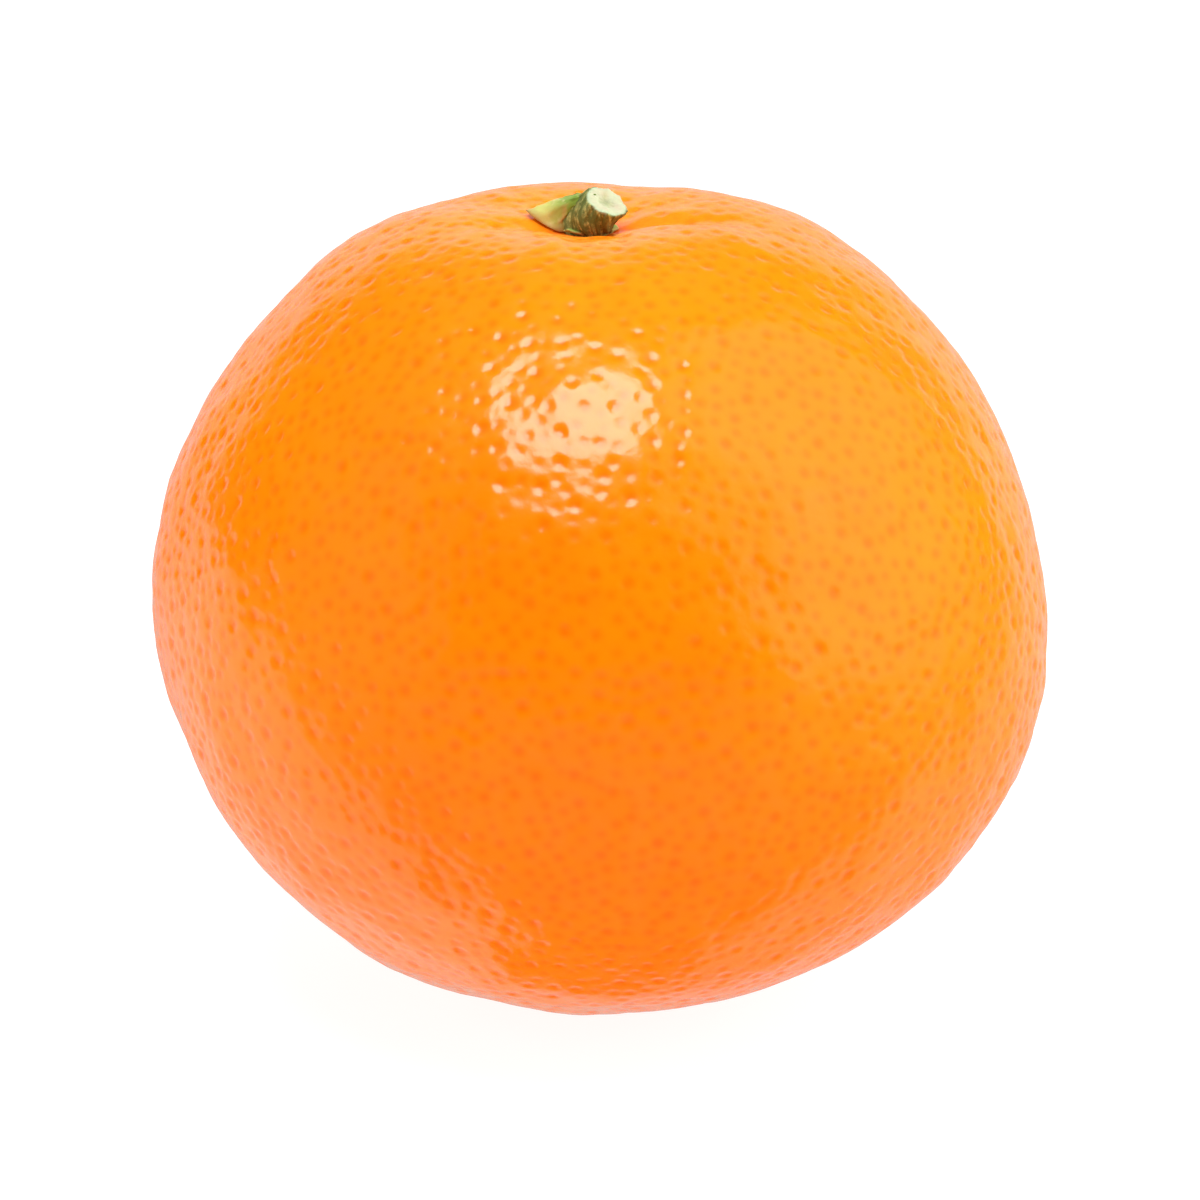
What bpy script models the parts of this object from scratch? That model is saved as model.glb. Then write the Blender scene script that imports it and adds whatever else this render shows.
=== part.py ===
"""Mandarin: a whole fruit with its calyx and the stub of its stalk.

The frame is in metres with +Z up.  The origin is the middle of the small flat spot that the fruit
rests on.  The three pieces are the fruit, peel and flesh grown as one body, the star-shaped calyx
lying in the dimple at the top, and the cut stalk that leans out of the calyx.
"""

import math

import bmesh
import bpy
from mathutils import Matrix, Vector
from mathutils.bvhtree import BVHTree

MM = 0.001

# Fruit
EQUATOR_RADIUS = 35.0 * MM
CROWN_RISE = 34.8 * MM          # from the equator up to the crown, before the dimple sinks it
BASE_DROP = 28.9 * MM           # from the equator down to the base, before it is flattened
FLAT_SPOT_RADIUS = 7.5 * MM
DIMPLE_X = -0.9 * MM            # the stalk grows a little off the middle
DIMPLE_DEPTH = 2.8 * MM
DIMPLE_SPREAD = 5.5 * MM
FURROW_REACH = 9.0 * MM         # shallow folds run out of the dimple this far
FURROW_WAVES = (                # folds round the dimple, depth, turn in degrees
    (5, 0.10 * MM, 20),
    (9, 0.08 * MM, 75),
)
FRUIT_MERIDIANS = 56
FRUIT_PARALLELS = 34
POLE_CROWDING = 0.2             # pulls the parallels together towards the crown and the base

# Soft lumps of the grown shape: azimuth and latitude in degrees, height, spread in degrees
LUMPS = (
    (5, 18, -0.25 * MM, 24),    # right flank
    (30, 52, 0.80 * MM, 24),    # right shoulder
    (80, 40, 0.40 * MM, 26),    # back shoulder
    (150, 52, 1.35 * MM, 24),   # left shoulder
    (175, 12, 0.55 * MM, 24),   # left flank
    (188, -24, -1.30 * MM, 24), # lower left flank
    (265, 44, 0.35 * MM, 26),   # front shoulder
    (290, -34, 0.20 * MM, 28),  # lower front
    (60, -30, 0.30 * MM, 24),   # lower back
    (105, -20, -0.30 * MM, 28), # hollow beside it
)

# Calyx
CALYX_LOBES = (                 # azimuth in degrees, reach of the tip
    (162, 4.6 * MM),
    (232, 2.9 * MM),
    (304, 2.5 * MM),
    (16, 2.8 * MM),
    (88, 3.4 * MM),
)
CALYX_NOTCH_RADIUS = 2.1 * MM
CALYX_LOBE_HALF_WIDTH = 36      # degrees from a tip to the notch beside it
CALYX_THICKNESS = 0.45 * MM
CALYX_SEGMENTS = 40
CALYX_RINGS = 4

# Stalk
STALK_BASE_RADIUS = 1.75 * MM
STALK_TOP_RADIUS = 1.62 * MM
STALK_LENGTH = 3.1 * MM         # from the peel, through the calyx, to the middle of the cut
STALK_AXIS = Vector((0.43, -0.44, 0.79)).normalized()
STALK_CUT_NORMAL = Vector((0.36, -0.36, 0.86)).normalized()
STALK_SIDES = 24

GAP = 0.3 * MM                  # kept between pieces that touch
STALK_FOOT_RISE = CALYX_THICKNESS + 2 * GAP
RAY_HEIGHT = 50 * MM            # above the equator, clear of the whole fruit

# The flat spot lies at z = 0, so the equator stands this high
EQUATOR_HEIGHT = BASE_DROP * math.sqrt(1 - (FLAT_SPOT_RADIUS / EQUATOR_RADIUS) ** 2)


def clear_scene():
    for old in list(bpy.data.objects):
        bpy.data.objects.remove(old, do_unlink=True)


def make_collection(name):
    collection = bpy.data.collections.new(name)
    bpy.context.scene.collection.children.link(collection)
    return collection


def make_material(name, colour, roughness):
    material = bpy.data.materials.new(name)
    material.use_nodes = True
    shader = material.node_tree.nodes["Principled BSDF"]
    shader.inputs["Base Color"].default_value = (*colour, 1.0)
    shader.inputs["Roughness"].default_value = roughness
    shader.inputs["Metallic"].default_value = 0.0
    material.diffuse_color = (*colour, 1.0)
    return material


def add_object(name, bm, location, material, collection, parent):
    """Make one named object from a bmesh, shaded smooth and parented to the fruit's empty."""
    mesh = bpy.data.meshes.new(name)
    bm.to_mesh(mesh)
    bm.free()
    mesh.shade_smooth()
    mesh.set_sharp_from_angle(angle=math.radians(40))
    mesh.materials.append(material)
    piece = bpy.data.objects.new(name, mesh)
    piece.location = location
    piece.parent = parent
    collection.objects.link(piece)
    return piece


def direction(azimuth, latitude):
    return Vector((
        math.cos(latitude) * math.cos(azimuth),
        math.cos(latitude) * math.sin(azimuth),
        math.sin(latitude),
    ))


def lump_height(outward):
    """How far the lumps lift the peel along the unit vector outward."""
    height = 0.0
    for azimuth, latitude, lift, spread in LUMPS:
        middle = direction(math.radians(azimuth), math.radians(latitude))
        height += lift * math.exp(-(outward.angle(middle) / math.radians(spread)) ** 2)
    return height


def crown_sink(x, y):
    """How far the dimple and the furrows around it sink the crown at a point."""
    away = Vector((x - DIMPLE_X, y))
    dimple = DIMPLE_DEPTH * math.exp(-0.5 * (away.length / DIMPLE_SPREAD) ** 2)
    around = math.atan2(away.y, away.x)
    reach = away.length / FURROW_REACH
    furrows = 0.0
    for folds, depth, turn in FURROW_WAVES:
        furrows += depth * math.cos(folds * around + math.radians(turn))
    return dimple + furrows * reach ** 2 * math.exp(1 - reach ** 2)


def fruit_point(outward):
    """A point of the peel, from the middle of the equator."""
    rise = CROWN_RISE if outward.z > 0 else BASE_DROP
    point = Vector((EQUATOR_RADIUS * outward.x, EQUATOR_RADIUS * outward.y, rise * outward.z))
    point += outward * lump_height(outward)
    if outward.z > 0:
        point.z -= crown_sink(point.x, point.y)
    return point


def cut_flat(bm, plane_point, plane_normal):
    """Cut off what lies beyond a plane and close the cut with one face."""
    cut = bmesh.ops.bisect_plane(
        bm, geom=bm.verts[:] + bm.edges[:] + bm.faces[:],
        plane_co=plane_point, plane_no=plane_normal, clear_outer=True,
    )
    rim = [item for item in cut["geom_cut"] if isinstance(item, bmesh.types.BMEdge)]
    bmesh.ops.edgenet_fill(bm, edges=rim)


def fruit_bmesh():
    """A sphere moved onto the grown shape, then cut flat where it rests."""
    bm = bmesh.new()
    bmesh.ops.create_uvsphere(
        bm, u_segments=FRUIT_MERIDIANS, v_segments=FRUIT_PARALLELS, radius=1.0
    )
    for vert in bm.verts:
        latitude = math.asin(max(-1.0, min(1.0, vert.co.z)))
        crowded = latitude + POLE_CROWDING * math.sin(2 * latitude)
        azimuth = math.atan2(vert.co.y, vert.co.x)
        vert.co = fruit_point(direction(azimuth, crowded))
    cut_flat(bm, Vector((0, 0, -EQUATOR_HEIGHT)), Vector((0, 0, -1)))
    bmesh.ops.recalc_face_normals(bm, faces=bm.faces)
    return bm


def calyx_reach(azimuth):
    """How far the calyx spreads from the stalk in one direction: a notch, or out along a lobe."""
    reach = CALYX_NOTCH_RADIUS
    for tip_azimuth, tip_reach in CALYX_LOBES:
        turn = math.degrees(azimuth) - tip_azimuth
        off_tip = abs((turn + 180) % 360 - 180) / CALYX_LOBE_HALF_WIDTH
        if off_tip < 1:
            reach = max(reach, CALYX_NOTCH_RADIUS + (tip_reach - CALYX_NOTCH_RADIUS) * (1 - off_tip))
    return reach


def calyx_bmesh(peel, middle):
    """A star-shaped sheet, a grid rolled into a disc, laid on the peel with a gap under it."""
    bm = bmesh.new()
    bmesh.ops.create_grid(bm, x_segments=CALYX_SEGMENTS, y_segments=CALYX_RINGS, size=0.5)
    for vert in bm.verts:
        azimuth = 2 * math.pi * (vert.co.x + 0.5)
        radius = calyx_reach(azimuth) * (vert.co.y + 0.5)
        over = Vector((math.cos(azimuth) * radius, math.sin(azimuth) * radius, 0)) + middle
        over.z = RAY_HEIGHT
        below, normal, _, _ = peel.ray_cast(over, Vector((0, 0, -1)))
        vert.co = below + normal * GAP - middle
    bmesh.ops.remove_doubles(bm, verts=bm.verts, dist=0.01 * MM)
    bmesh.ops.recalc_face_normals(bm, faces=bm.faces)
    if sum(face.normal.z for face in bm.faces) < 0:
        bmesh.ops.reverse_faces(bm, faces=bm.faces)
    return bm


def add_thickness(piece, thickness):
    solidify = piece.modifiers.new("thickness", "SOLIDIFY")
    solidify.thickness = thickness
    solidify.offset = 1.0
    solidify.use_even_offset = True


def stalk_bmesh():
    """A short tapered bar along the leaning axis, cut level over the calyx and off at its top."""
    spare = 2 * STALK_BASE_RADIUS
    bm = bmesh.new()
    bmesh.ops.create_cone(
        bm, cap_ends=True, segments=STALK_SIDES,
        radius1=STALK_BASE_RADIUS, radius2=STALK_TOP_RADIUS, depth=STALK_LENGTH + 2 * spare,
        matrix=Matrix.Translation((0, 0, STALK_LENGTH / 2)),
    )
    lean = STALK_AXIS.to_track_quat("Z", "Y").to_matrix().to_4x4()
    bmesh.ops.transform(bm, matrix=lean, verts=bm.verts)
    cut_flat(bm, Vector((0, 0, STALK_FOOT_RISE)), Vector((0, 0, -1)))
    cut_flat(bm, STALK_AXIS * STALK_LENGTH, STALK_CUT_NORMAL)
    bmesh.ops.recalc_face_normals(bm, faces=bm.faces)
    return bm


def main():
    clear_scene()
    parts = make_collection("mandarin")
    base = bpy.data.objects.new("mandarin_base", None)
    base.empty_display_size = 10 * MM
    parts.objects.link(base)

    peel_orange = make_material("peel_orange", (0.95, 0.27, 0.01), 0.35)
    sepal_green = make_material("sepal_green", (0.55, 0.56, 0.18), 0.6)
    stalk_green = make_material("stalk_green", (0.36, 0.33, 0.12), 0.7)

    fruit = fruit_bmesh()
    peel = BVHTree.FromBMesh(fruit)
    equator = Vector((0, 0, EQUATOR_HEIGHT))
    add_object("fruit", fruit, equator, peel_orange, parts, base)

    middle, _, _, _ = peel.ray_cast(Vector((DIMPLE_X, 0, RAY_HEIGHT)), Vector((0, 0, -1)))
    star = calyx_bmesh(peel, middle)
    calyx = add_object("calyx", star, equator + middle, sepal_green, parts, base)
    add_thickness(calyx, CALYX_THICKNESS)

    add_object("stem_stub", stalk_bmesh(), equator + middle, stalk_green, parts, base)


main()
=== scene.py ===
"""Mandarin: the finished look of a whole fruit, its sepals and its cut stalk, around the CAD frame."""

import math

import bmesh
import bpy
import numpy as np
from bpy.props import FloatProperty, FloatVectorProperty, IntProperty, PointerProperty
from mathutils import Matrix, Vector, kdtree
from mathutils.bvhtree import BVHTree


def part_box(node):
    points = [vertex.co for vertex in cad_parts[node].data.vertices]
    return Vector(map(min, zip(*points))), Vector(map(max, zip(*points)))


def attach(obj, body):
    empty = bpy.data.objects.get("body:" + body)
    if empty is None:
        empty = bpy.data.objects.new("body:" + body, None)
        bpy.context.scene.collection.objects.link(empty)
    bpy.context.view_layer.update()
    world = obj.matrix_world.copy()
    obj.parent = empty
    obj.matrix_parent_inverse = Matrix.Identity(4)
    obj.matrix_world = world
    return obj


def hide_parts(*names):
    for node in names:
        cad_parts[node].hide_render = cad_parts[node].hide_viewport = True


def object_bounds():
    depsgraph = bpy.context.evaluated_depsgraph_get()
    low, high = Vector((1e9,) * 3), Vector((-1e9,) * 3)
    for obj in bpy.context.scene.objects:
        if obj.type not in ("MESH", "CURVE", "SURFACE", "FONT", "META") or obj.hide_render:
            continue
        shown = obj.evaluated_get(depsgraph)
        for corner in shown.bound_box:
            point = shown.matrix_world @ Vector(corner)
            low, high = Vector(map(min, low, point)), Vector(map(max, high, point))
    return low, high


bl_info = {
    "name": "Mandarin",
    "version": (1, 0, 0),
    "blender": (4, 5, 0),
    "location": "View3D > Sidebar > Mandarin",
    "description": "Grows a mandarin with oil glands, sepals and a cut stalk",
    "category": "Object",
}

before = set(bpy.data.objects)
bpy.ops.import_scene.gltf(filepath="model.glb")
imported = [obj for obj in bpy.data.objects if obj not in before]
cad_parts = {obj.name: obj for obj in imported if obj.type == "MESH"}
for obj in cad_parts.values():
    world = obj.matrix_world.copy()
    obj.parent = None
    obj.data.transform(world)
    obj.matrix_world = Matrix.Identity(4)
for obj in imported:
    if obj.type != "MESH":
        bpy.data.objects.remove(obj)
CAD_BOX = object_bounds()
FRUIT_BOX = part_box("fruit")

MM = 0.001

# The grown shape, in the proportions of the CAD fruit
EQUATOR_RADIUS = 35.0 * MM
CROWN_RISE = 34.8 * MM
BASE_DROP = 28.9 * MM
FLAT_SPOT_RADIUS = 7.5 * MM
EQUATOR_HEIGHT = BASE_DROP * math.sqrt(1 - (FLAT_SPOT_RADIUS / EQUATOR_RADIUS) ** 2)
FLAT_EDGE = 0.25 * MM           # how softly the flat spot meets the rounded base
DIMPLE_X = -0.9 * MM
DIMPLE_DEPTH = 2.8 * MM
DIMPLE_SPREAD = 5.5 * MM
FURROW_REACH = 9.0 * MM
FURROW_WAVES = (                # folds round the dimple, depth, turn in degrees
    (5, 0.10 * MM, 20),
    (9, 0.08 * MM, 75),
)
LUMPS = (                       # azimuth and latitude in degrees, height, spread in degrees
    (5, 18, -0.25 * MM, 24),
    (30, 52, 0.80 * MM, 24),
    (80, 40, 0.40 * MM, 26),
    (150, 52, 1.35 * MM, 24),
    (175, 12, 0.55 * MM, 24),
    (188, -24, -1.30 * MM, 24),
    (265, 44, 0.35 * MM, 26),
    (290, -34, 0.20 * MM, 28),
    (60, -30, 0.30 * MM, 24),
    (105, -20, -0.30 * MM, 28),
)

# The peel's surface
PEEL_LEVELS = 8                 # halvings of a cube's edges: 256 quads along each
RIPPLE_WAVES = 48               # laid over each other in each kind of ripple
RIPPLE_RANGE = (0.75, 1.35)     # times its wavelength, the shortest and longest of those waves
PEEL_RIPPLES = (                # wavelength, height
    (14.0 * MM, 0.080 * MM),
    (6.0 * MM, 0.040 * MM),
    (3.0 * MM, 0.020 * MM),
    (1.3 * MM, 0.0035 * MM),
)
SMALL_LUMPS = (                 # azimuth and latitude in degrees, height, spread in degrees
    (286, 27, 0.09 * MM, 3.5),  # a slanting ridge on the front
    (292, 30, 0.10 * MM, 3.5),
    (299, 33, 0.10 * MM, 3.5),
    (306, 36, 0.08 * MM, 3.5),
    (340, 66, 0.16 * MM, 6.0),  # swellings between the folds of the crown
    (20, 70, 0.14 * MM, 6.0),
    (215, 70, 0.14 * MM, 5.0),
    (130, 72, 0.12 * MM, 6.0),
)
CROWN_FOLDS = (                 # azimuth and turn in degrees, length, depth, half width
    (306, -10, 11.0 * MM, 0.20 * MM, 0.8 * MM),
    (338, 8, 12.0 * MM, 0.15 * MM, 1.1 * MM),
    (2, -6, 14.0 * MM, 0.16 * MM, 1.2 * MM),
    (38, 10, 10.0 * MM, 0.12 * MM, 1.1 * MM),
    (74, -8, 12.0 * MM, 0.12 * MM, 1.2 * MM),
    (118, 6, 9.0 * MM, 0.10 * MM, 1.0 * MM),
    (148, -9, 11.0 * MM, 0.15 * MM, 1.0 * MM),
    (186, 7, 10.0 * MM, 0.16 * MM, 0.9 * MM),
    (214, -6, 8.0 * MM, 0.10 * MM, 0.8 * MM),
    (243, 9, 9.0 * MM, 0.10 * MM, 0.9 * MM),
    (274, -7, 8.0 * MM, 0.09 * MM, 0.8 * MM),
)
FOLD_FADE = 2.2                 # a fold is deepest at its length divided by this
FOLD_BANK_HEIGHT = 0.5          # of the fold's depth
FOLD_BANK_PLACE = 1.4           # half widths to the side
GLANDED_AREA = 4 * math.pi * EQUATOR_RADIUS ** 2 * 0.95     # a little less than a full sphere's
GLAND_CELL = 0.87               # of the spacing squared, what one gland takes up
GLAND_JITTER = 0.55             # of the spacing
GLAND_SETTLING = 3              # rounds in which neighbours push apart
GLAND_NEIGHBOURS = 5
GLAND_PUSH = 0.3                # of what they are too close, in each round
SMALL_GLAND_STRENGTH = (0.2, 0.55)
LARGE_GLAND_STRENGTH = (0.6, 1.0)
LARGE_GLAND_SPACING = 1.35      # times the gland spacing
DEEPER_PITS = (                 # azimuth and latitude in degrees, share added, spread in degrees
    (180, 88, 0.40, 34),        # round the dimple
    (183, -5, 0.80, 36),        # left flank
    (357, 5, 0.50, 32),         # right flank
)
STALK_PIT_DEPTH = 0.40 * MM     # the peel sinks once more where the stalk grows out of it
STALK_PIT_RADIUS = 3.0 * MM
QUIET_RADIUS = 3.0 * MM         # no glands this near the stalk
COLLAR_RADIUS = 7.0 * MM        # paler peel all over the dimple
STALK_FOOT_SHADE_RADIUS = 2.1 * MM         # ring of painted shade round the stalk's foot: redder peel for its shadow and the red light thrown back in the crease
STALK_FOOT_SHADE_WIDTH = 0.9 * MM
STYLE_SCAR_RADIUS = 1.3 * MM
STYLE_SCAR_DEPTH = 0.35 * MM

# The stalk, from the peel up
STALK_TOP = Vector((1.33, -1.36, 2.86)) * MM
STALK_CUT_NORMAL = Vector((0.36, -0.36, 0.86)).normalized()
STALK_BEND_RISE = 0.36          # of its height is straight up, before it leans
STALK_RIM_AT = 0.74             # of the way from its foot, over the rim, to the middle of the cut
STALK_SINK = 0.1 * MM           # of its foot below the peel
STALK_FLARE = 0.16              # of its radius, at its foot
STALK_FLARE_REACH = 0.16        # of the way to the rim
STALK_BULGE = 0.13              # of its radius, half way up
STALK_BULGE_SHIFT = Vector((-0.30, 0.0, 0.0)) * MM
STALK_TWIST = 1.1               # turn of the fibres round it, in radians, from its foot to the cut
STALK_RAGGED = 0.12 * MM        # height of the splinters round the cut
STALK_RIBS = (                  # how many round it, height of each as a share of its radius
    (5, 0.040),
    (11, 0.022),
    (19, 0.016),
    (31, 0.012),
    (47, 0.009),
)
STALK_GRID = (216, 72)          # round it, and from its foot to the middle of the cut
STALK_SEED = 5
CUT_DOME = 0.09 * MM            # the cut face rises inside its rim
CUT_DISH = 0.12 * MM            # and sinks in its middle
CUT_DEPTH = 0.16 * MM           # below the plane of the cut, where its colour starts
CUT_FADE = 0.10 * MM            # over which the bark gives way to it
CUT_RIM = 0.06                  # of the radius, left to the bark
CAMBIUM_RING = (0.93, 0.07)     # of the radius: its place and its width
PITH_PLACE = np.array([-0.15, 0.75, 0]) * MM        # from the middle of the cut
PITH_RADIUS = 0.42 * MM
PITH_SQUEEZE = np.array([2.0, 0.9, 0.9])            # narrow from left to right
BROWN_AND_SHADE_AT_FOOT = 0.60         # share of brown and painted shade in the bark, at the foot and under the cut's middle
BROWN_AND_SHADE_RISE = 3.2 * MM        # it falls by 1 over this height
BROWN_AND_SHADE_REACH = 6.0 * MM       # and grows by 1 over this distance to the right

# The sepals round it
SEPALS = (                      # azimuth in degrees, reach, lift of the tip, climb up the stalk
    (164, 4.9 * MM, 0.30 * MM, 2.9 * MM),
    (228, 2.5 * MM, 0.30 * MM, 0.3 * MM),
    (304, 1.8 * MM, 0.00 * MM, 0.0 * MM),
    (16, 2.3 * MM, 0.10 * MM, 0.2 * MM),
    (88, 3.4 * MM, 0.30 * MM, 0.6 * MM),
)
SEPAL_NOTCH_RADIUS = 1.55 * MM
SEPAL_HALF_WIDTH = 40           # degrees
SEPAL_INNER_RADIUS = 1.0 * MM   # hidden inside the stalk
SEPAL_THICKNESS = 0.40 * MM     # near the stalk; a quarter of it at the edge
SEPAL_GAP = 0.04 * MM           # under the sheet
SEPAL_CLIMB = (0.20, 0.66)      # of the way out: where the climb is whole, and where it has faded
SEPAL_VEINS = 14
SEPAL_VEIN_HEIGHT = 0.05 * MM
SEPAL_GRID = (180, 48)          # round the stalk, and out over the sheet and back under it
SEPAL_SEED = 11
SEPAL_GREEN_RANGE = (1.7 * MM, 3.3 * MM)            # from the stalk's middle, all green to none
SEPAL_EDGE = 0.86               # of the reach, where the brown edge starts

# Colours that don't change with the settings
COLLAR_COLOUR = (0.93, 0.33, 0.02)
# painted shade and red bounce light round the stalk's foot
STALK_FOOT_SHADE_COLOUR = (0.90, 0.09, 0.004)
SCAR_COLOUR = (0.16, 0.07, 0.02)
SEPAL_MOTTLE_COLOUR = (0.56, 0.50, 0.22)
SEPAL_EDGE_COLOUR = (0.40, 0.25, 0.07)
BARK_STREAK_COLOUR = (0.40, 0.38, 0.11)
# streaks on the brown side, which is partly the bark's own brown and partly painted shade
SHADED_BROWN_BARK_STREAK_COLOUR = (0.27, 0.24, 0.08)
WOOD_MOTTLE_COLOUR = (0.43, 0.38, 0.25)
PITH_COLOUR = (0.30, 0.30, 0.05)
CAMBIUM_COLOUR = (0.34, 0.45, 0.27)

# The view
VIEW_ELEVATION = 19.0
VIEW_DISTANCE = 0.330
VIEW_WIDTH = 0.0939             # what the view spans at the fruit
VIEW_RISE = 2.36 * MM           # of the aim above the equator
SENSOR_WIDTH = 36.0

# The light
KEY_SIZE = 0.31                 # across the round softbox
KEY_PLACE = Vector((-0.04, -0.14, 0.47))    # from the middle of the fruit
FILLS = (                       # name, place from the middle of the fruit, size, power
    ("right_fill", (0.50, -0.20, 0.15), 0.50, 2.5),
    ("left_fill", (-0.50, -0.20, 0.15), 0.50, 1.7),
    ("upper_right_fill", (0.35, 0.05, 0.40), 0.50, 2.1),
    ("upper_left_fill", (-0.35, 0.05, 0.40), 0.50, 0.5),
    ("upper_back_fill", (0.0, 0.35, 0.40), 0.50, 1.0),
)
FLOOR_GLOW_NEAR = 1.00          # brightness of the floor's own glow under the fruit
FLOOR_GLOW_FAR = 0.70           # and far from it
FLOOR_GLOW_REACH = (0.08, 0.50)
FLOOR_SEEN = 0.90               # its own brightness when it is looked at
FLOOR_RADIUS = 3.0
GLOWS = (                       # direction, cosine of its outer and inner edge, brightness
    ((0.0, 1.0, -0.30), 0.50, 0.75, 0.65),      # sweep behind
    ((-0.75, 0.25, -0.60), 0.74, 0.81, 0.95),   # table on the left
    ((0.60, 0.50, -0.62), 0.76, 0.90, 0.50),    # table on the right
    ((0.80, -0.10, 0.50), 0.72, 0.82, 0.42),    # panel on the right
)


# ---------------------------------------------------------------- settings

class MandarinPeelSettings(bpy.types.PropertyGroup):
    colour: FloatVectorProperty(
        name="Peel colour", description="Colour of the ripe peel between the oil glands",
        subtype="COLOR", size=3, min=0.0, max=1.0, default=(0.95, 0.215, 0.001),
    )
    ripe_colour: FloatVectorProperty(
        name="Ripest colour", description="Colour of the redder patches of peel",
        subtype="COLOR", size=3, min=0.0, max=1.0, default=(0.95, 0.185, 0.001),
    )
    gland_colour: FloatVectorProperty(
        name="Gland colour", description="Colour over the oil glands",
        subtype="COLOR", size=3, min=0.0, max=1.0, default=(0.94, 0.145, 0.001),
    )
    gland_spacing: FloatProperty(
        name="Gland spacing", description="Distance from one oil gland to the next",
        subtype="DISTANCE", unit="LENGTH", min=0.0008, max=0.004, precision=5, default=1.52 * MM,
    )
    gland_depth: FloatProperty(
        name="Gland depth", description="Depth of the pit over the largest oil glands",
        subtype="DISTANCE", unit="LENGTH", min=0.0, max=0.0005, precision=5, default=0.11 * MM,
    )
    gland_width: FloatProperty(
        name="Gland width", description="Radius over which a pit fades out",
        subtype="DISTANCE", unit="LENGTH", min=0.0001, max=0.001, precision=5, default=0.46 * MM,
    )
    gloss_roughness: FloatProperty(
        name="Wax roughness", description="Roughness of the waxy surface",
        subtype="FACTOR", min=0.0, max=1.0, default=0.17,
    )
    seed: IntProperty(
        name="Seed", description="Chooses where the glands and ripples fall", min=0, default=7,
    )


class MandarinStalkSettings(bpy.types.PropertyGroup):
    bark_colour: FloatVectorProperty(
        name="Bark colour", description="Colour of the green side of the stalk",
        subtype="COLOR", size=3, min=0.0, max=1.0, default=(0.085, 0.11, 0.018),
    )
    # the brown side: partly the bark's own brown, partly painted shade on its lower right
    shaded_brown_bark_colour: FloatVectorProperty(
        name="Brown and shaded bark colour", description="Colour of the brown side of the stalk",
        subtype="COLOR", size=3, min=0.0, max=1.0, default=(0.085, 0.065, 0.014),
    )
    wood_colour: FloatVectorProperty(
        name="Cut colour", description="Colour of the freshly cut face of the stalk",
        subtype="COLOR", size=3, min=0.0, max=1.0, default=(0.41, 0.44, 0.27),
    )
    sepal_colour: FloatVectorProperty(
        name="Sepal colour", description="Colour of the sepals near their tips",
        subtype="COLOR", size=3, min=0.0, max=1.0, default=(0.50, 0.49, 0.13),
    )
    sepal_green: FloatVectorProperty(
        name="Sepal green", description="Colour of the sepals near the stalk",
        subtype="COLOR", size=3, min=0.0, max=1.0, default=(0.17, 0.27, 0.025),
    )
    radius: FloatProperty(
        name="Stalk radius", description="Radius of the stalk at its cut face",
        subtype="DISTANCE", unit="LENGTH", min=0.0005, max=0.004, precision=5, default=1.64 * MM,
    )


class MandarinStageSettings(bpy.types.PropertyGroup):
    floor_colour: FloatVectorProperty(
        name="Floor colour", description="Colour of the pale floor",
        subtype="COLOR", size=3, min=0.0, max=1.0, default=(0.22, 0.22, 0.22),
    )
    key_power: FloatProperty(
        name="Key light power", description="Power of the overhead round softbox",
        subtype="POWER", unit="POWER", min=0.0, default=2.1,
    )
    fill: FloatProperty(
        name="Fill", description="Brightness of the soft fill lights", min=0.0, soft_max=3.0, default=1.0,
    )
    surround: FloatProperty(
        name="Surroundings", description="Brightness of the white surroundings",
        min=0.0, soft_max=3.0, default=1.0,
    )


# ---------------------------------------------------------------- shapes in numbers

def unit_vectors(azimuth, latitude):
    azimuth, latitude = np.radians(azimuth), np.radians(latitude)
    return np.stack(
        [np.cos(latitude) * np.cos(azimuth), np.cos(latitude) * np.sin(azimuth), np.sin(latitude)],
        axis=-1,
    )


def lump_lift(outward, lumps):
    """How far a list of lumps lifts the peel along unit vectors."""
    lift = np.zeros(len(outward))
    for azimuth, latitude, height, spread in lumps:
        middle = unit_vectors(azimuth, latitude)
        off = np.degrees(np.arccos(np.clip(outward @ middle, -1, 1))) / spread
        lift += height * np.exp(-off ** 2)
    return lift


def grown_shape(outward):
    """Points of the smooth fruit, from the middle of its equator, for unit vectors outward."""
    crown = outward[:, 2] > 0
    rise = np.where(crown, CROWN_RISE, BASE_DROP)
    lift = lump_lift(outward, LUMPS)
    points = outward * np.stack([EQUATOR_RADIUS + lift, EQUATOR_RADIUS + lift, rise + lift], axis=-1)
    away_x, away_y = points[:, 0] - DIMPLE_X, points[:, 1]
    away = np.hypot(away_x, away_y)
    around = np.arctan2(away_y, away_x)
    reach = away / FURROW_REACH
    folds = sum(d * np.cos(n * around + math.radians(turn)) for n, d, turn in FURROW_WAVES)
    sink = DIMPLE_DEPTH * np.exp(-0.5 * (away / DIMPLE_SPREAD) ** 2)
    sink += folds * reach ** 2 * np.exp(1 - reach ** 2)
    points[:, 2] -= np.where(crown, sink, 0)
    return points


def flatten_base(points):
    """Press the base onto the surface it rests on, with a soft edge round the flat spot."""
    above = points[:, 2] + EQUATOR_HEIGHT
    points[:, 2] = 0.5 * (above + np.sqrt(above ** 2 + FLAT_EDGE ** 2)) - EQUATOR_HEIGHT
    return points


def fit_to_box(points, box):
    """Stretch points by the little it takes to fill a box exactly."""
    low, high = points.min(axis=0), points.max(axis=0)
    box_low, box_high = np.array(box[0]), np.array(box[1])
    return box_low + (points - low) / (high - low) * (box_high - box_low)


def ripples(points, wavelength, height, rng):
    """A smooth random relief: many plane waves of about one wavelength, in random directions."""
    headings = rng.normal(size=(RIPPLE_WAVES, 3))
    headings /= np.linalg.norm(headings, axis=1, keepdims=True)
    numbers = 2 * math.pi / (wavelength * rng.uniform(*RIPPLE_RANGE, RIPPLE_WAVES))
    phases = rng.uniform(0, 2 * math.pi, RIPPLE_WAVES)
    relief = np.zeros(len(points))
    for heading, number, phase in zip(headings, numbers, phases):
        relief += np.sin(points @ (heading * number) + phase)
    return relief * height * math.sqrt(2 / RIPPLE_WAVES)


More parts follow.
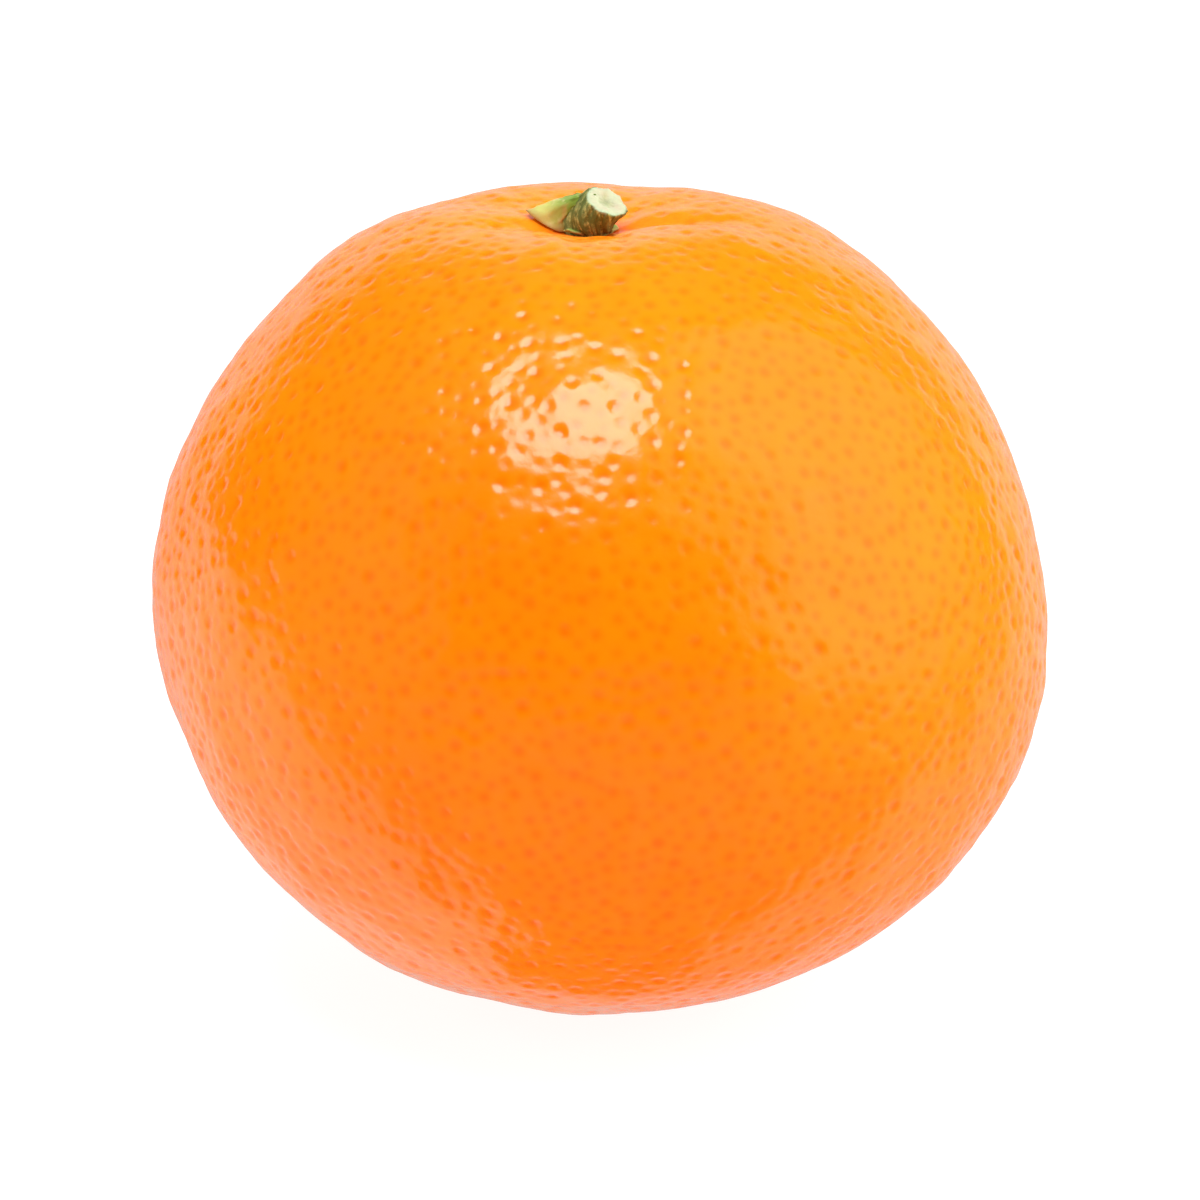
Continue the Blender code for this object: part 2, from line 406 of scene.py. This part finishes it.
def fold_relief(away_x, away_y):
    """Creases that run out of the dimple, each with a low swelling along one side."""
    away, around = np.hypot(away_x, away_y), np.arctan2(away_y, away_x)
    relief = np.zeros(len(away))
    for azimuth, turn, length, depth, width in CROWN_FOLDS:
        along = FOLD_FADE * away / length
        aside = around - np.radians(azimuth + turn * along)
        off = np.sin(aside) * away / width
        crease = np.exp(-off ** 2) - FOLD_BANK_HEIGHT * np.exp(-(off - FOLD_BANK_PLACE) ** 2)
        fade = (along * np.exp(1 - along)) ** 2
        relief -= np.where(np.cos(aside) > 0, depth * crease * fade, 0)
    return relief


# ---------------------------------------------------------------- mesh helpers

def mesh_from(bm, name):
    mesh = bpy.data.meshes.new(name)
    bm.to_mesh(mesh)
    bm.free()
    return mesh


def vector_array(items, name):
    values = np.empty(len(items) * 3)
    items.foreach_get(name, values)
    return values.reshape(-1, 3)


def set_vertices(mesh, points):
    mesh.vertices.foreach_set("co", np.ascontiguousarray(points, dtype=np.float32).ravel())
    mesh.update()


def set_point_value(mesh, name, values):
    """Give each vertex a number, which the material reads by name."""
    layer = mesh.attributes.new(name, "FLOAT", "POINT")
    layer.data.foreach_set("value", np.ascontiguousarray(values, dtype=np.float32))


def link_piece(name, mesh, material):
    mesh.materials.clear()
    mesh.materials.append(material)
    mesh.shade_smooth()
    piece = bpy.data.objects.new(name, mesh)
    bpy.context.scene.collection.objects.link(piece)
    return piece


def applied(piece):
    """Give a piece the mesh that its modifiers make, and take the modifiers off."""
    evaluated = piece.evaluated_get(bpy.context.evaluated_depsgraph_get())
    mesh = bpy.data.meshes.new_from_object(evaluated)
    piece.modifiers.clear()
    piece.data = mesh
    return piece


def declare(piece, node):
    """Let a piece stand for a node of the frame: hang it on the root body and hide the CAD part."""
    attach(piece, "root")
    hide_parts(node)


# ---------------------------------------------------------------- material helpers

class Shader:
    """Builds one material's nodes around a Principled BSDF."""

    def __init__(self, name):
        self.material = bpy.data.materials.new(name)
        self.material.use_nodes = True
        self.nodes = self.material.node_tree.nodes
        self.links = self.material.node_tree.links
        self.surface = self.nodes["Principled BSDF"]

    def node(self, kind, **settings):
        made = self.nodes.new(kind)
        for key, value in settings.items():
            setattr(made, key, value)
        return made

    def link(self, source, target):
        self.links.new(source, target)

    def position(self):
        return self.node("ShaderNodeTexCoord").outputs["Object"]

    def value(self, name):
        return self.node("ShaderNodeAttribute", attribute_name=name).outputs["Fac"]

    def noise(self, scale, detail=2.0, roughness=0.5):
        """Noise from 0 to 1, with this many lumps to the metre."""
        made = self.node("ShaderNodeTexNoise")
        made.inputs["Scale"].default_value = scale
        made.inputs["Detail"].default_value = detail
        made.inputs["Roughness"].default_value = roughness
        self.link(self.position(), made.inputs["Vector"])
        return made.outputs["Fac"]

    def between(self, fac, low, high, out_low=0.0, out_high=1.0):
        """Stretch the range from low to high over the range from out_low to out_high."""
        made = self.node("ShaderNodeMapRange")
        self.link(fac, made.inputs["Value"])
        made.inputs["From Min"].default_value = low
        made.inputs["From Max"].default_value = high
        made.inputs["To Min"].default_value = out_low
        made.inputs["To Max"].default_value = out_high
        return made.outputs["Result"]

    def times(self, first, second):
        """The product of two sockets, or of a socket and a number."""
        made = self.node("ShaderNodeMath", operation="MULTIPLY")
        for socket, given in zip(made.inputs, (first, second)):
            if isinstance(given, float):
                socket.default_value = given
            else:
                self.link(given, socket)
        return made.outputs["Value"]

    def mix(self, fac, first, second):
        """Fade from the first to the second of two colours, each a socket or a plain colour."""
        made = self.node("ShaderNodeMix", data_type="RGBA", clamp_factor=True)
        self.link(fac, made.inputs["Factor"])
        sockets = [s for s in made.inputs if s.type == "RGBA"]
        for socket, given in zip(sockets, (first, second)):
            if isinstance(given, bpy.types.NodeSocket):
                self.link(given, socket)
            else:
                socket.default_value = (*given, 1.0)
        return [s for s in made.outputs if s.type == "RGBA"][0]

    def bump(self, height, distance):
        made = self.node("ShaderNodeBump")
        made.inputs["Strength"].default_value = 1.0
        made.inputs["Distance"].default_value = distance
        self.link(height, made.inputs["Height"])
        self.link(made.outputs["Normal"], self.surface.inputs["Normal"])

    def set(self, name, value):
        self.surface.inputs[name].default_value = value

    def drive(self, name, source):
        self.link(source, self.surface.inputs[name])


def peel_material(settings):
    shader = Shader("waxy_peel")
    patches = shader.between(shader.noise(45.0, detail=3.0), 0.35, 0.68)
    colour = shader.mix(patches, tuple(settings.colour), tuple(settings.ripe_colour))
    colour = shader.mix(shader.value("gland"), colour, tuple(settings.gland_colour))
    colour = shader.mix(shader.times(shader.value("collar"), 0.35), colour, COLLAR_COLOUR)
    # painted shade: redder peel in a ring round the stalk's foot
    colour = shader.mix(shader.times(shader.value("stalk_foot_shade"), 0.75), colour, STALK_FOOT_SHADE_COLOUR)
    colour = shader.mix(shader.value("scar"), colour, SCAR_COLOUR)
    shader.drive("Base Color", colour)
    wax = shader.noise(700.0)
    rough = settings.gloss_roughness
    shader.drive("Roughness", shader.between(wax, 0.3, 0.7, rough - 0.03, rough + 0.05))
    shader.bump(shader.noise(2600.0), 0.012 * MM)
    shader.set("IOR", 1.47)
    shader.set("Subsurface Weight", 0.25)
    shader.set("Subsurface Radius", (1.0, 0.30, 0.05))
    shader.set("Subsurface Scale", 1.6 * MM)
    return shader.material


def sepal_material(settings):
    shader = Shader("dry_sepal")
    near = shader.value("near_stalk")
    mottle = shader.noise(900.0, detail=4.0, roughness=0.6)
    colour = shader.mix(near, tuple(settings.sepal_colour), tuple(settings.sepal_green))
    colour = shader.mix(shader.between(mottle, 0.55, 0.75), colour, SEPAL_MOTTLE_COLOUR)
    colour = shader.mix(shader.times(shader.value("edge"), 0.8), colour, SEPAL_EDGE_COLOUR)
    shader.drive("Base Color", colour)
    shader.drive("Roughness", shader.between(mottle, 0.3, 0.7, 0.5, 0.7))
    shader.bump(mottle, 0.08 * MM)
    shader.set("Subsurface Weight", 0.1)
    shader.set("Subsurface Radius", (0.6, 0.8, 0.2))
    shader.set("Subsurface Scale", 0.5 * MM)
    return shader.material


def stalk_material(settings):
    shader = Shader("stalk_bark")
    grain = shader.noise(2200.0, detail=4.0, roughness=0.65)
    specks = shader.between(grain, 0.42, 0.62)
    streaks = shader.times(shader.between(shader.value("fibre"), 0.25, 0.80), specks)
    green = shader.mix(streaks, tuple(settings.bark_colour), BARK_STREAK_COLOUR)
    # the brown side is partly the bark's own brown and partly painted shade, low down and to the right
    brown = shader.mix(streaks, tuple(settings.shaded_brown_bark_colour), SHADED_BROWN_BARK_STREAK_COLOUR)
    bark = shader.mix(shader.value("brown_and_shade"), green, brown)
    mottle = shader.between(shader.noise(900.0, detail=3.0), 0.4, 0.7)
    wood = shader.mix(mottle, tuple(settings.wood_colour), WOOD_MOTTLE_COLOUR)
    wood = shader.mix(shader.value("pith"), wood, PITH_COLOUR)
    wood = shader.mix(shader.value("cambium"), wood, CAMBIUM_COLOUR)
    colour = shader.mix(shader.value("cut"), bark, wood)
    shader.drive("Base Color", colour)
    shader.drive("Roughness", shader.between(grain, 0.3, 0.7, 0.55, 0.75))
    shader.bump(grain, 0.10 * MM)
    return shader.material


# ---------------------------------------------------------------- the fruit

CORNERS = ((0.0, 0.0), (1.0, 0.0), (1.0, 1.0), (0.0, 1.0))
UV_MARGIN = 0.012               # kept free round each side of the cube


def cube_sphere():
    """A cube with its six sides laid out as squares, halved again and again: an even round grid."""
    bm = bmesh.new()
    bmesh.ops.create_cube(bm, size=2.0)
    layer = bm.loops.layers.uv.new("OFBake")
    for index, face in enumerate(bm.faces):
        column, row = index % 3, index // 3
        for loop, (u, v) in zip(face.loops, CORNERS):
            inside = Vector((u, v)) * (1 - 2 * UV_MARGIN) + Vector((UV_MARGIN, UV_MARGIN))
            loop[layer].uv = ((column + inside.x) / 3, (row + inside.y) / 2)
    piece = bpy.data.objects.new("peel", mesh_from(bm, "peel"))
    bpy.context.scene.collection.objects.link(piece)
    halving = piece.modifiers.new("halving", "SUBSURF")
    halving.subdivision_type = "SIMPLE"
    halving.levels = halving.render_levels = PEEL_LEVELS
    return applied(piece)


def gland_directions(count, rng):
    """Evenly but irregularly spaced unit vectors: a spiral, shaken and let settle."""
    step = np.arange(count) + 0.5
    height = 1 - 2 * step / count
    turn = step * math.pi * (3 - math.sqrt(5))
    level = np.sqrt(1 - height ** 2)
    spots = np.stack([level * np.cos(turn), level * np.sin(turn), height], axis=-1)
    spacing = math.sqrt(4 * math.pi / count)
    spots += rng.normal(size=spots.shape) * GLAND_JITTER * spacing / math.sqrt(3)
    spots /= np.linalg.norm(spots, axis=1, keepdims=True)
    for _ in range(GLAND_SETTLING):
        tree = point_tree(spots)
        push = np.zeros_like(spots)
        for index, spot in enumerate(spots):
            for near, _, distance in tree.find_n(spot, 1 + GLAND_NEIGHBOURS)[1:]:
                if distance < spacing:
                    push[index] += (spot - np.array(near)) / (distance + 1e-9) * (spacing - distance)
        spots += GLAND_PUSH * push
        spots /= np.linalg.norm(spots, axis=1, keepdims=True)
    return spots


def point_tree(points):
    tree = kdtree.KDTree(len(points))
    for index, point in enumerate(points):
        tree.insert(point, index)
    tree.balance()
    return tree


def gland_strengths(places, spacing, rng):
    """Large glands, kept apart from each other, among smaller and fainter ones."""
    strengths = rng.uniform(*SMALL_GLAND_STRENGTH, len(places))
    tree = point_tree(places)
    large = np.zeros(len(places), dtype=bool)
    for index in rng.permutation(len(places)):
        near = tree.find_range(places[index], LARGE_GLAND_SPACING * spacing)
        if not any(large[other] for _, other, _ in near):
            large[index] = True
            strengths[index] = rng.uniform(*LARGE_GLAND_STRENGTH)
    return strengths


def gland_relief(points, settings, rng):
    """How deep the pits over the oil glands are at each point, and how dark their dots."""
    count = int(GLANDED_AREA / (settings.gland_spacing ** 2 * GLAND_CELL))
    places = fit_to_box(flatten_base(grown_shape(gland_directions(count, rng))), FRUIT_BOX)
    strengths = gland_strengths(places, settings.gland_spacing, rng)
    tree = point_tree(points)
    pits = np.zeros(len(points))
    dots = np.zeros(len(points))
    for place, strength in zip(places, strengths):
        width = settings.gland_width * (0.80 + 0.30 * strength)
        found = tree.find_range(place, 2 * width)
        index = np.array([item[1] for item in found], dtype=int)
        distance = np.array([item[2] for item in found])
        pits[index] += strength * np.exp(-(distance / width) ** 3)
        dots[index] += math.sqrt(strength) * np.exp(-(distance / width) ** 2)
    return pits, dots


def raise_peel(mesh, settings):
    """Move the round grid onto the fruit's shape and give it ripples, folds, pits and a style scar."""
    rng = np.random.default_rng(settings.seed)
    grid = np.tan(vector_array(mesh.vertices, "co") * math.pi / 4)
    outward = grid / np.linalg.norm(grid, axis=1, keepdims=True)
    points = fit_to_box(flatten_base(grown_shape(outward)), FRUIT_BOX)
    set_vertices(mesh, points)
    normals = vector_array(mesh.vertex_normals, "vector")

    relief = lump_lift(outward, SMALL_LUMPS)
    for wavelength, height in PEEL_RIPPLES:
        relief += ripples(points, wavelength, height, rng)
    pits, dots = gland_relief(points, settings, rng)

    away = np.hypot(points[:, 0] - DIMPLE_X, points[:, 1])
    on_crown = points[:, 2] > EQUATOR_HEIGHT
    collar = np.where(on_crown, np.exp(-(away / COLLAR_RADIUS) ** 2), 0)
    # painted shade: a ring round the stalk's foot where the peel is made redder
    stalk_foot_shade = np.where(on_crown, np.exp(-((away - STALK_FOOT_SHADE_RADIUS) / STALK_FOOT_SHADE_WIDTH) ** 2), 0)
    scar = np.where(on_crown, 0, np.exp(-(np.hypot(*points[:, :2].T) / STYLE_SCAR_RADIUS) ** 4))
    quiet = 1 - np.where(on_crown, np.exp(-(away / QUIET_RADIUS) ** 2), scar)
    relief += np.where(on_crown, fold_relief(points[:, 0] - DIMPLE_X, points[:, 1]), 0)
    pits *= quiet * (1 + lump_lift(outward, DEEPER_PITS))
    relief -= settings.gland_depth * pits + STYLE_SCAR_DEPTH * scar
    relief -= np.where(on_crown, STALK_PIT_DEPTH * np.exp(-(away / STALK_PIT_RADIUS) ** 2), 0)
    moved = points + normals * relief[:, None]
    moved[:, 2] = np.maximum(moved[:, 2], 0)
    set_vertices(mesh, moved)
    set_point_value(mesh, "gland", np.clip(dots * quiet, 0, 1))
    set_point_value(mesh, "collar", collar)
    set_point_value(mesh, "stalk_foot_shade", stalk_foot_shade)
    set_point_value(mesh, "scar", scar)


class MANDARIN_OT_grow_fruit(bpy.types.Operator):
    """Grow the fruit: its shape, its rippled peel and its oil glands"""

    bl_idname = "mandarin.grow_fruit"
    bl_label = "Grow fruit"

    def execute(self, context):
        settings = context.scene.mandarin_peel
        piece = cube_sphere()
        raise_peel(piece.data, settings)
        piece.data.materials.append(peel_material(settings))
        piece.data.shade_smooth()
        declare(piece, "fruit")
        return {"FINISHED"}


# ---------------------------------------------------------------- sepals and stalk

def rolled_grid(columns, rows, place):
    """A grid rolled round the stalk: place(turn, along) gives a point, both from 0 to 1."""
    bm = bmesh.new()
    bmesh.ops.create_grid(bm, x_segments=columns, y_segments=rows, size=0.5)
    for vert in bm.verts:
        vert.co = place(vert.co.x + 0.5, vert.co.y + 0.5)
    bmesh.ops.remove_doubles(bm, verts=bm.verts, dist=0.002 * MM)
    bmesh.ops.recalc_face_normals(bm, faces=bm.faces)
    return bm


def sepal_profile(azimuth):
    """Reach, tip lift and climb of the calyx in one direction."""
    reach, lift, climb = SEPAL_NOTCH_RADIUS, 0.0, 0.0
    for tip_azimuth, tip_reach, tip_lift, tip_climb in SEPALS:
        turn = abs((math.degrees(azimuth) - tip_azimuth + 180) % 360 - 180) / SEPAL_HALF_WIDTH
        if turn < 1:
            along = 1 - turn ** 1.4
            reach = max(reach, SEPAL_NOTCH_RADIUS + (tip_reach - SEPAL_NOTCH_RADIUS) * along)
            lift = max(lift, tip_lift * along)
            climb = max(climb, tip_climb * (1 - turn ** 2))
    return reach, lift, climb


def ground_under(tree, x, y):
    """The peel's surface and normal straight below a point."""
    place, normal, _, _ = tree.ray_cast(Vector((x, y, CAD_BOX[1][2] * 2)), Vector((0, 0, -1)))
    return place, normal


def peel_tree(context):
    return BVHTree.FromObject(bpy.data.objects["peel"], context.evaluated_depsgraph_get())


def sepal_mesh(tree):
    """The star-shaped sheet, laid on the peel, with its tallest lobe standing against the stalk."""
    phases = np.random.default_rng(SEPAL_SEED).uniform(0, 2 * math.pi, 4)
    whole, faded = SEPAL_CLIMB

    def place(turn, along):
        """Out over the top of the sheet in the first half of along, and back under it."""
        azimuth = 2 * math.pi * turn
        reach, lift, climb = sepal_profile(azimuth)
        reach *= 1 + 0.04 * math.sin(9 * azimuth + phases[0]) + 0.02 * math.sin(23 * azimuth)
        out = 1 - abs(2 * along - 1)
        away = SEPAL_INNER_RADIUS + (reach - SEPAL_INNER_RADIUS) * out
        x = DIMPLE_X + math.cos(azimuth) * away
        y = math.sin(azimuth) * away
        ground, normal = ground_under(tree, x, y)
        height = SEPAL_GAP + lift * out ** 3
        if along < 0.5:
            thickness = SEPAL_THICKNESS * (1 - 0.75 * out ** 2) * min(1, (1 - out) * 6 + 0.3)
            shoulder = climb * math.exp(-(out / faded) ** 3) * min(1, out / whole)
            veins = SEPAL_VEIN_HEIGHT * math.sin(SEPAL_VEINS * azimuth + phases[1]) * out
            height += thickness + shoulder + veins
        lean = Vector((STALK_TOP.x, STALK_TOP.y, 0)) * (height / STALK_TOP.z) ** 2 * (1 - out)
        return ground + normal * height + lean

    bm = rolled_grid(*SEPAL_GRID, place)
    if bm.calc_volume(signed=True) < 0:
        bmesh.ops.reverse_faces(bm, faces=bm.faces)
    return mesh_from(bm, "sepals")


def mark_sepals(mesh):
    """Mark where the sepals are green and where they turn brown toward their edge."""
    points = vector_array(mesh.vertices, "co")
    away = np.hypot(points[:, 0] - DIMPLE_X, points[:, 1])
    azimuths = np.arctan2(points[:, 1], points[:, 0] - DIMPLE_X)
    reaches = np.array([sepal_profile(azimuth)[0] for azimuth in azimuths])
    green, plain = SEPAL_GREEN_RANGE
    set_point_value(mesh, "near_stalk", np.clip((plain - away) / (plain - green), 0, 1))
    set_point_value(mesh, "edge", np.clip((away / reaches - SEPAL_EDGE) / (1 - SEPAL_EDGE), 0, 1))


class MANDARIN_OT_grow_sepals(bpy.types.Operator):
    """Lay the star of sepals in the dimple"""

    bl_idname = "mandarin.grow_sepals"
    bl_label = "Grow sepals"

    def execute(self, context):
        material = sepal_material(context.scene.mandarin_stalk)
        piece = link_piece("sepals", sepal_mesh(peel_tree(context)), material)
        mark_sepals(piece.data)
        declare(piece, "calyx")
        return {"FINISHED"}


def stalk_section(foot, along):
    """Middle and facing of the stalk's cross-section, bending from upright to the cut."""
    bend = foot + Vector((0, 0, STALK_TOP.z * STALK_BEND_RISE))
    middle = foot.lerp(bend, along).lerp(bend.lerp(foot + STALK_TOP, along), along)
    facing = Vector((0, 0, 1)).lerp(STALK_CUT_NORMAL, min(1, along * 1.2)).normalized()
    return middle, facing


def stalk_ribs(azimuth, along, phases):
    """The fibres that run along the bark, as a share of the radius."""
    azimuth += STALK_TWIST * along
    height = 0.03 * math.sin(8 * along + 2 * azimuth + phases[7])
    for (count, share), phase in zip(STALK_RIBS, phases):
        height += share * math.sin(count * azimuth + phase + 1.5 * math.sin(3 * along + phase))
    return height


def stalk_mesh(foot, full_radius, phases):
    """The ribbed bark from the foot up to a ragged rim, and the cut face inside it."""

    def place(turn, along):
        azimuth = 2 * math.pi * turn
        on_side = min(1.0, along / STALK_RIM_AT)
        middle, facing = stalk_section(foot, on_side)
        swell = math.sin(math.pi * on_side)
        middle = middle + STALK_BULGE_SHIFT * swell
        across = facing.to_track_quat("Z", "Y").to_matrix()
        flare = STALK_FLARE * math.exp(-(on_side / STALK_FLARE_REACH) ** 2)
        radius = full_radius * (1 + STALK_BULGE * swell + flare)
        radius *= 1 + stalk_ribs(azimuth, on_side, phases)
        inward = max(0.0, (along - STALK_RIM_AT) / (1 - STALK_RIM_AT))
        ragged = STALK_RAGGED * math.sin(5 * azimuth + phases[4]) * math.sin(3 * azimuth + phases[5])
        lip = ragged * on_side ** 4 * (1 - inward) ** 2
        dome = CUT_DOME * math.sin(math.pi * min(1, inward * 1.6)) - CUT_DISH * inward
        offset = Vector((math.cos(azimuth), math.sin(azimuth), 0)) * radius * (1 - inward)
        return middle + across @ offset + facing * (dome + lip)

    bm = rolled_grid(*STALK_GRID, place)
    rim = [edge for edge in bm.edges if edge.is_boundary]
    bmesh.ops.edgenet_fill(bm, edges=rim)
    bmesh.ops.recalc_face_normals(bm, faces=bm.faces)
    return mesh_from(bm, "stalk")


def mark_stalk(mesh, foot, full_radius, phases):
    """Mark the cut face with its rings and pith, and the bark with its fibres and its browner, darker
    lower right side: partly its own brown, partly painted shade.
    """
    points = vector_array(mesh.vertices, "co")
    local = points - np.array(foot + STALK_TOP)
    height = local @ np.array(STALK_CUT_NORMAL)
    sideways = local - height[:, None] * np.array(STALK_CUT_NORMAL)
    radial = np.linalg.norm(sideways, axis=1) / full_radius
    cut = np.clip((height + CUT_DEPTH) / CUT_FADE, 0, 1) * np.clip((1 - radial) / CUT_RIM, 0, 1)
    around = np.arctan2(sideways[:, 1], sideways[:, 0]) + STALK_TWIST * height / STALK_TOP.z
    fibre = sum(np.sin(n * around + phase) for (n, _), phase in zip(STALK_RIBS[1:], phases[1:]))
    ring_place, ring_width = CAMBIUM_RING
    from_pith = np.linalg.norm((sideways - PITH_PLACE) * PITH_SQUEEZE, axis=1) / PITH_RADIUS
    # browner and darker low down and to the right: partly the bark's own brown, partly painted shade
    brown_and_shade = BROWN_AND_SHADE_AT_FOOT - (points[:, 2] - foot.z) / BROWN_AND_SHADE_RISE + local[:, 0] / BROWN_AND_SHADE_REACH
    set_point_value(mesh, "cut", cut)
    set_point_value(mesh, "fibre", 0.5 + fibre / 5)
    set_point_value(mesh, "cambium", np.exp(-((radial - ring_place) / ring_width) ** 2) * 0.6)
    set_point_value(mesh, "pith", np.exp(-from_pith ** 2) * 0.5)
    set_point_value(mesh, "brown_and_shade", np.clip(brown_and_shade, 0, 1))


class MANDARIN_OT_grow_stalk(bpy.types.Operator):
    """Grow the leaning stub of the stalk with its cut face"""

    bl_idname = "mandarin.grow_stalk"
    bl_label = "Grow stalk"

    def execute(self, context):
        settings = context.scene.mandarin_stalk
        ground, _ = ground_under(peel_tree(context), DIMPLE_X, 0)
        foot = ground - Vector((0, 0, STALK_SINK))
        phases = np.random.default_rng(STALK_SEED).uniform(0, 2 * math.pi, 8)
        mesh = stalk_mesh(foot, settings.radius, phases)
        piece = link_piece("stalk", mesh, stalk_material(settings))
        mark_stalk(mesh, foot, settings.radius, phases)
        declare(piece, "stem_stub")
        return {"FINISHED"}


# ---------------------------------------------------------------- stage

def add_softbox(name, power, size, place, aim):
    light = bpy.data.lights.new(name, "AREA")
    light.shape = "DISK"
    light.size = size
    light.energy = power
    lamp = bpy.data.objects.new(name, light)
    lamp.location = place
    lamp.rotation_mode = "QUATERNION"
    lamp.rotation_quaternion = (aim - place).to_track_quat("-Z", "Y")
    bpy.context.scene.collection.objects.link(lamp)
    return lamp


def light_surroundings(strength):
    """Soft glows behind, below and to the right, in surroundings that are white when looked at."""
    world = bpy.data.worlds.new("studio")
    bpy.context.scene.world = world
    world.use_nodes = True
    nodes, links = world.node_tree.nodes, world.node_tree.links
    direction = nodes.new("ShaderNodeTexCoord").outputs["Generated"]
    total = None
    for axis, outer, inner, brightness in GLOWS:
        facing = nodes.new("ShaderNodeVectorMath")
        facing.operation = "DOT_PRODUCT"
        links.new(direction, facing.inputs[0])
        facing.inputs[1].default_value = Vector(axis).normalized()
        fade = nodes.new("ShaderNodeMapRange")
        fade.interpolation_type = "SMOOTHSTEP"
        fade.inputs["From Min"].default_value = outer
        fade.inputs["From Max"].default_value = inner
        fade.inputs["To Max"].default_value = brightness * strength
        links.new(facing.outputs["Value"], fade.inputs["Value"])
        if total is None:
            total = fade.outputs["Result"]
            continue
        brighter = nodes.new("ShaderNodeMath")
        brighter.operation = "MAXIMUM"
        links.new(total, brighter.inputs[0])
        links.new(fade.outputs["Result"], brighter.inputs[1])
        total = brighter.outputs["Value"]
    seen = nodes.new("ShaderNodeMix")
    links.new(nodes.new("ShaderNodeLightPath").outputs["Is Camera Ray"], seen.inputs["Factor"])
    links.new(total, seen.inputs["A"])
    seen.inputs["B"].default_value = 1.0
    nodes["Background"].inputs["Color"].default_value = (1.0, 1.0, 1.0, 1.0)
    links.new(seen.outputs["Result"], nodes["Background"].inputs["Strength"])


def floor_material(colour):
    """A matt floor that glows softly, most of all near the fruit, and is pale when looked at."""
    shader = Shader("pale_floor")
    distance = shader.node("ShaderNodeVectorMath", operation="LENGTH")
    shader.link(shader.position(), distance.inputs[0])
    glow = shader.between(distance.outputs["Value"], *FLOOR_GLOW_REACH, FLOOR_GLOW_NEAR, FLOOR_GLOW_FAR)
    seen = shader.node("ShaderNodeMix")
    shader.link(shader.node("ShaderNodeLightPath").outputs["Is Camera Ray"], seen.inputs["Factor"])
    shader.link(glow, seen.inputs["A"])
    seen.inputs["B"].default_value = FLOOR_SEEN
    shader.drive("Emission Strength", seen.outputs["Result"])
    shader.set("Emission Color", (1.0, 1.0, 1.0, 1.0))
    shader.set("Base Color", (*colour, 1.0))
    shader.set("Roughness", 0.9)
    shader.set("Specular IOR Level", 0.0)
    shader.material.cycles.emission_sampling = "NONE"
    return shader.material


def add_camera():
    middle = (FRUIT_BOX[0] + FRUIT_BOX[1]) / 2
    aim = Vector((middle.x, middle.y, EQUATOR_HEIGHT + VIEW_RISE))
    elevation = math.radians(VIEW_ELEVATION)
    back = Vector((0, -math.cos(elevation), math.sin(elevation)))
    data = bpy.data.cameras.new("camera")
    data.sensor_width = SENSOR_WIDTH
    data.lens = SENSOR_WIDTH * VIEW_DISTANCE / VIEW_WIDTH
    camera = bpy.data.objects.new("camera", data)
    camera.location = aim + back * VIEW_DISTANCE
    camera.rotation_mode = "QUATERNION"
    camera.rotation_quaternion = (-back).to_track_quat("-Z", "Y")
    data.clip_start = 0.01
    data.clip_end = 10
    bpy.context.scene.collection.objects.link(camera)
    bpy.context.scene.camera = camera


class MANDARIN_OT_set_stage(bpy.types.Operator):
    """Set the pale floor, the soft lights, the white surroundings and the camera"""

    bl_idname = "mandarin.set_stage"
    bl_label = "Set stage"

    def execute(self, context):
        settings = context.scene.mandarin_stage
        bm = bmesh.new()
        bmesh.ops.create_circle(bm, cap_ends=True, segments=96, radius=FLOOR_RADIUS)
        floor = link_piece("floor", mesh_from(bm, "floor"), floor_material(settings.floor_colour))
        floor.visible_glossy = False
        middle = Vector((0, 0, EQUATOR_HEIGHT))
        add_softbox("key_softbox", settings.key_power, KEY_SIZE, middle + KEY_PLACE, middle)
        for name, place, size, power in FILLS:
            fill = add_softbox(name, power * settings.fill, size, middle + Vector(place), middle)
            fill.visible_glossy = False
        light_surroundings(settings.surround)
        add_camera()
        context.scene.view_settings.view_transform = "Standard"
        context.scene.view_settings.look = "None"
        return {"FINISHED"}


# ---------------------------------------------------------------- panel and run

class MANDARIN_PT_sidebar(bpy.types.Panel):
    """Lists the steps that make the mandarin"""

    bl_idname = "MANDARIN_PT_sidebar"
    bl_label = "Mandarin"
    bl_space_type = "VIEW_3D"
    bl_region_type = "UI"
    bl_category = "Mandarin"

    def draw(self, context):
        for operator in OPERATORS:
            self.layout.operator(operator.bl_idname)
        for name in SETTINGS:
            group = getattr(context.scene, name)
            box = self.layout.box()
            for key in group.bl_rna.properties.keys():
                if key not in {"rna_type", "name"}:
                    box.prop(group, key)


SETTINGS = {
    "mandarin_peel": MandarinPeelSettings,
    "mandarin_stalk": MandarinStalkSettings,
    "mandarin_stage": MandarinStageSettings,
}
OPERATORS = (
    MANDARIN_OT_grow_fruit, MANDARIN_OT_grow_sepals, MANDARIN_OT_grow_stalk, MANDARIN_OT_set_stage,
)
CLASSES = (*SETTINGS.values(), *OPERATORS, MANDARIN_PT_sidebar)


def register():
    for made in CLASSES:
        bpy.utils.register_class(made)
    for name, group in SETTINGS.items():
        setattr(bpy.types.Scene, name, PointerProperty(type=group))


def unregister():
    for name in SETTINGS:
        delattr(bpy.types.Scene, name)
    for made in reversed(CLASSES):
        bpy.utils.unregister_class(made)


def main():
    register()
    bpy.ops.mandarin.grow_fruit()
    bpy.ops.mandarin.grow_sepals()
    bpy.ops.mandarin.grow_stalk()
    bpy.ops.mandarin.set_stage()


if __name__ == "__main__":
    main()
